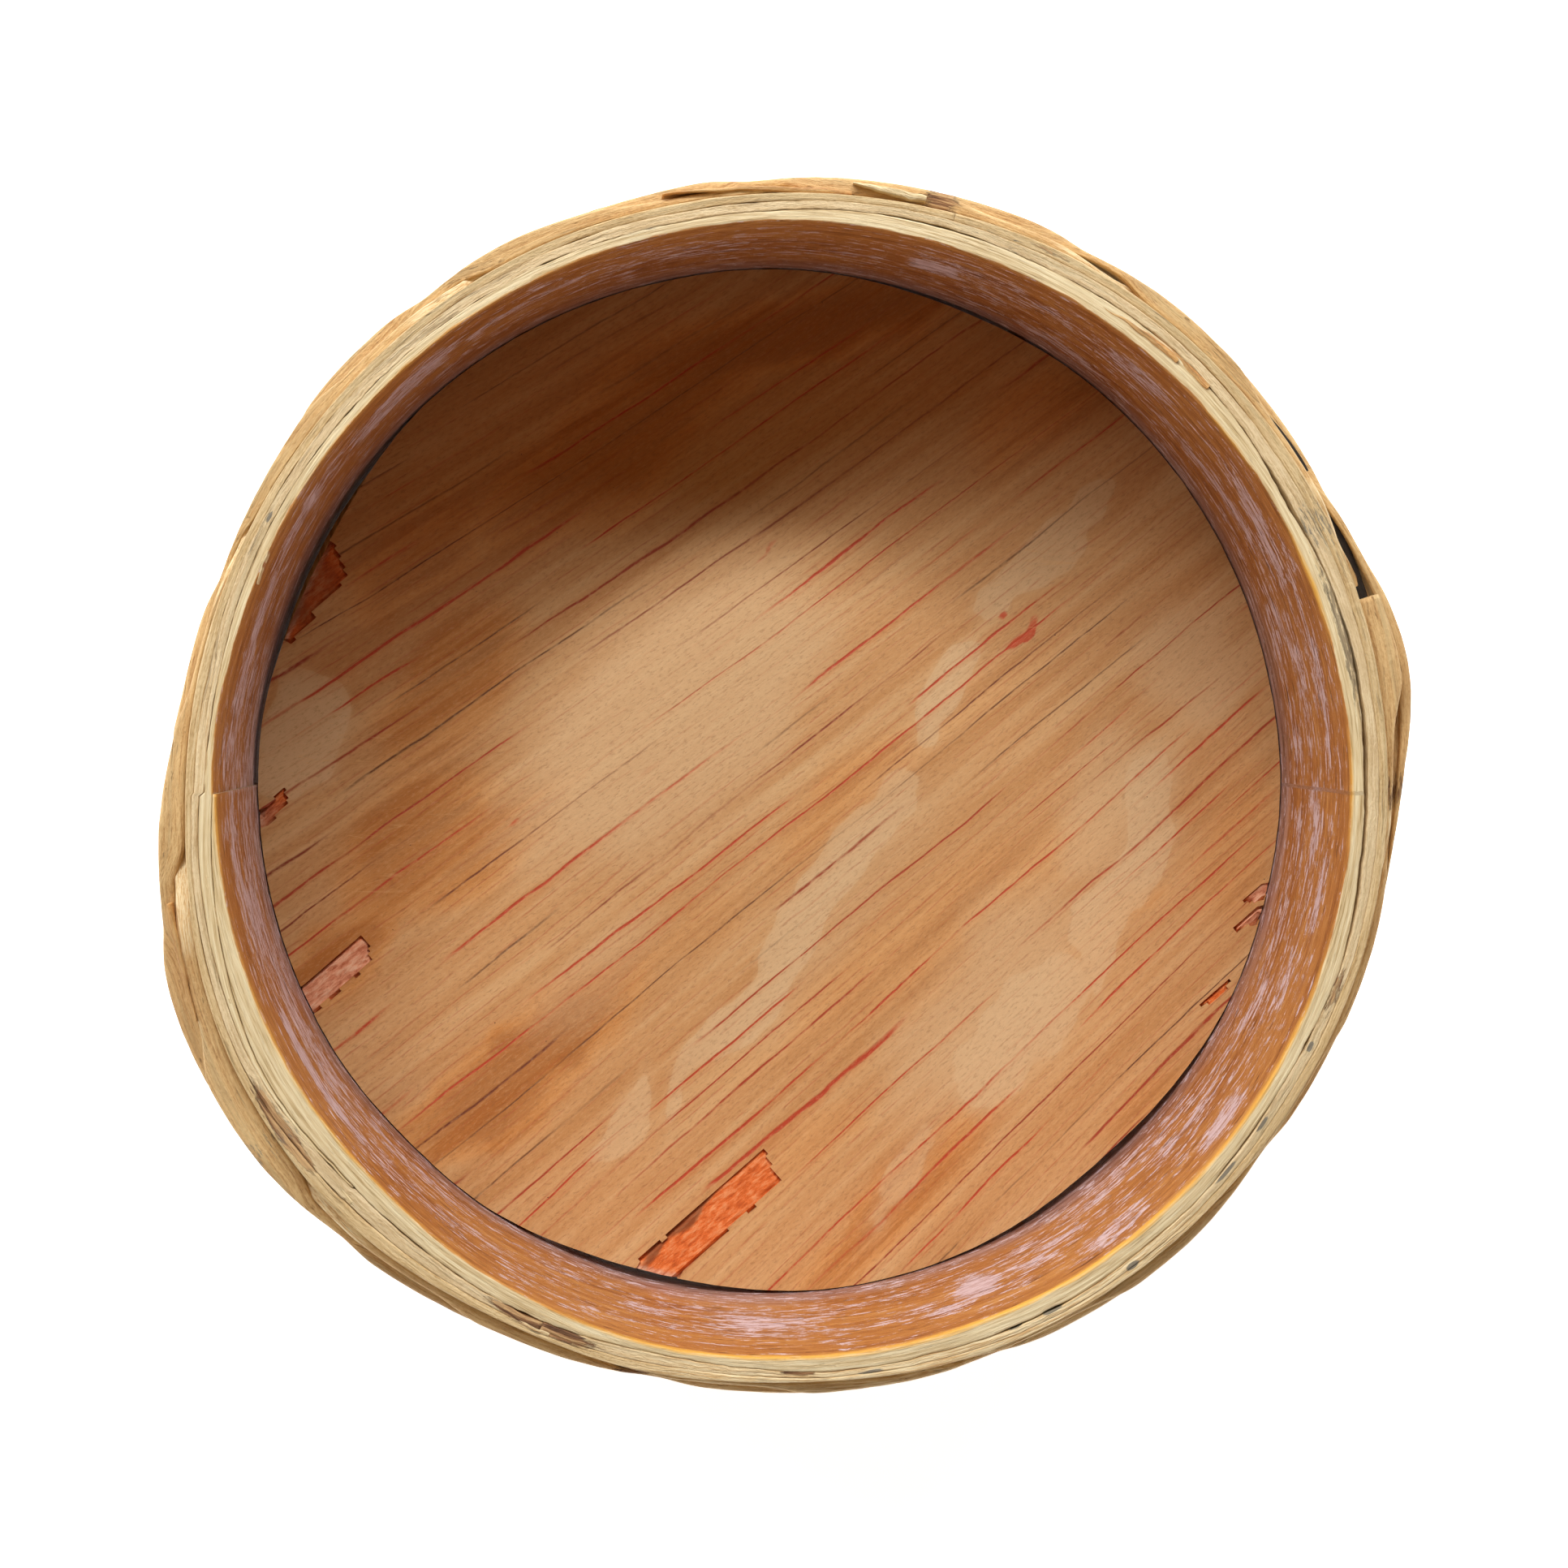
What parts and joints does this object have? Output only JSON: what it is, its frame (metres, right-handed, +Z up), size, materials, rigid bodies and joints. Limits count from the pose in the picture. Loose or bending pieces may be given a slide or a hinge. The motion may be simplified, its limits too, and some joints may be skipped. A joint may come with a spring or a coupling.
{
  "type": "bamboo steamer basket",
  "caption": "Round open steaming basket with a bent bamboo wall, twined hoops round rim and base, and a loose plywood floor.",
  "frame": {"origin": "middle of the footprint on the surface that the basket stands on", "axes": "+Z up through the open mouth, +X towards the loose tail of the rim hoop, +Y across"},
  "size_m": [0.1558, 0.1538, 0.05],
  "materials": {
    "bamboo_skin": "worn satin, reddish brown with pale scuffs",
    "bamboo_lath": "dry matte split bamboo",
    "bamboo_strip": "dry matte split bamboo",
    "bamboo_splint": "golden tan, fibrous",
    "face_veneer": "matte pine veneer, stained along the grain",
    "core_veneer": "rough orange brown veneer",
    "bamboo_peg": "matte"
  },
  "bodies": {
    "basket": {"inner_band": "bamboo_skin", "wall_band": "bamboo_lath", "rim_strip": "bamboo_strip", "base_strip": "bamboo_strip", "rim_hoop": "bamboo_splint", "base_hoop": "bamboo_splint", "floor_seat_ring": "bamboo_lath", "cross_bar_middle": "bamboo_lath", "cross_bar_left": "bamboo_lath", "cross_bar_right": "bamboo_lath", "bar_peg_1": "bamboo_peg", "bar_peg_2": "bamboo_peg", "bar_peg_3": "bamboo_peg", "bar_peg_4": "bamboo_peg", "bar_peg_5": "bamboo_peg", "bar_peg_6": "bamboo_peg"},
    "floor_board": {"floor_back_veneer": "face_veneer", "floor_core_veneer": "core_veneer", "floor_face_veneer": "face_veneer"}
  },
  "joints": [
    {"name": "floor_board_lift", "type": "slide", "parent": "basket", "child": "floor_board", "axis": [0, 0, 1], "range_m": [0, 0.06]}
  ]
}
